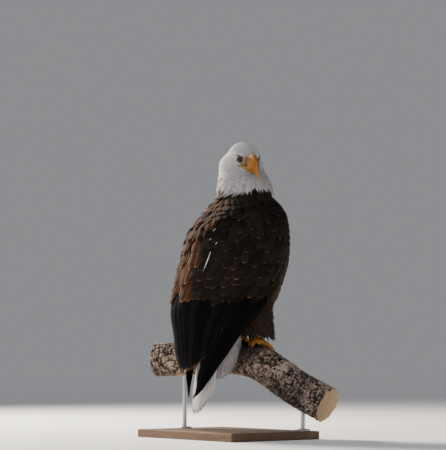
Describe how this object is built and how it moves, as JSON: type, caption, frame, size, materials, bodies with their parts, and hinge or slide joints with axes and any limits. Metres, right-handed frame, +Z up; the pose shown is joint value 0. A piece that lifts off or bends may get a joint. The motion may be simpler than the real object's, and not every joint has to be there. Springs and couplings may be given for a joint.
{
  "type": "bald eagle display model",
  "caption": "Life-size perched bald eagle looking back over its right shoulder, gripping a cut branch held over a flat wooden base by steel rods.",
  "frame": {"origin": "on the floor under the middle of the whole model's box, at the underside of the stand's base", "axes": "+X the way the bird's breast faces, +Y the bird's left side, +Z up"},
  "size_m": [0.3674, 0.5424, 0.8128],
  "materials": {
    "white_feather": "soft white feathers with faint grey-lilac shade, matte",
    "brown_feather": "dark brown body feathers with paler tan-brown fringes, low sheen",
    "flight_feather": "blackish brown flight feathers, faint blue-grey sheen",
    "bill_horn": "orange-yellow horn, satin, paler towards the tip",
    "eye": "pale amber-brown iris with black pupil under a clear glossy cornea",
    "leg_skin": "orange-yellow scaly skin, satin",
    "talon": "black horn, glossy",
    "bark": "rough grey-brown bark with wrinkled ridges, sawn pale wood at both ends",
    "stand_wood": "satin varnished brown hardwood",
    "stand_steel": "satin turned steel"
  },
  "bodies": {
    "root": {"bill_cere": "bill_horn", "bill_lower": "bill_horn", "bill_upper": "bill_horn", "eye_left": "eye", "eye_right": "eye", "foot_left": "leg_skin", "foot_right": "leg_skin", "head": "white_feather", "neck": "white_feather", "perch": "bark", "scapulars_left": "brown_feather", "scapulars_right": "brown_feather", "stand_base": "stand_wood", "stand_rod_left": "stand_steel", "stand_rod_right": "stand_steel", "tail": "white_feather", "tail_coverts_under": "white_feather", "tail_coverts_upper": "white_feather", "talon_hind_left": "talon", "talon_hind_right": "talon", "talon_inner_left": "talon", "talon_inner_right": "talon", "talon_middle_left": "talon", "talon_middle_right": "talon", "talon_outer_left": "talon", "talon_outer_right": "talon", "tarsus_left": "leg_skin", "tarsus_right": "leg_skin", "thigh_left": "brown_feather", "thigh_right": "brown_feather", "toe_hind_left": "leg_skin", "toe_hind_right": "leg_skin", "toe_inner_left": "leg_skin", "toe_inner_right": "leg_skin", "toe_middle_left": "leg_skin", "toe_middle_right": "leg_skin", "toe_outer_left": "leg_skin", "toe_outer_right": "leg_skin", "trunk": "brown_feather", "wing_coverts_left": "brown_feather", "wing_coverts_right": "brown_feather", "wing_greater_coverts_left": "brown_feather", "wing_greater_coverts_right": "brown_feather", "wing_primaries_left": "flight_feather", "wing_primaries_right": "flight_feather", "wing_secondaries_left": "flight_feather", "wing_secondaries_right": "flight_feather"}
  },
  "joints": []
}
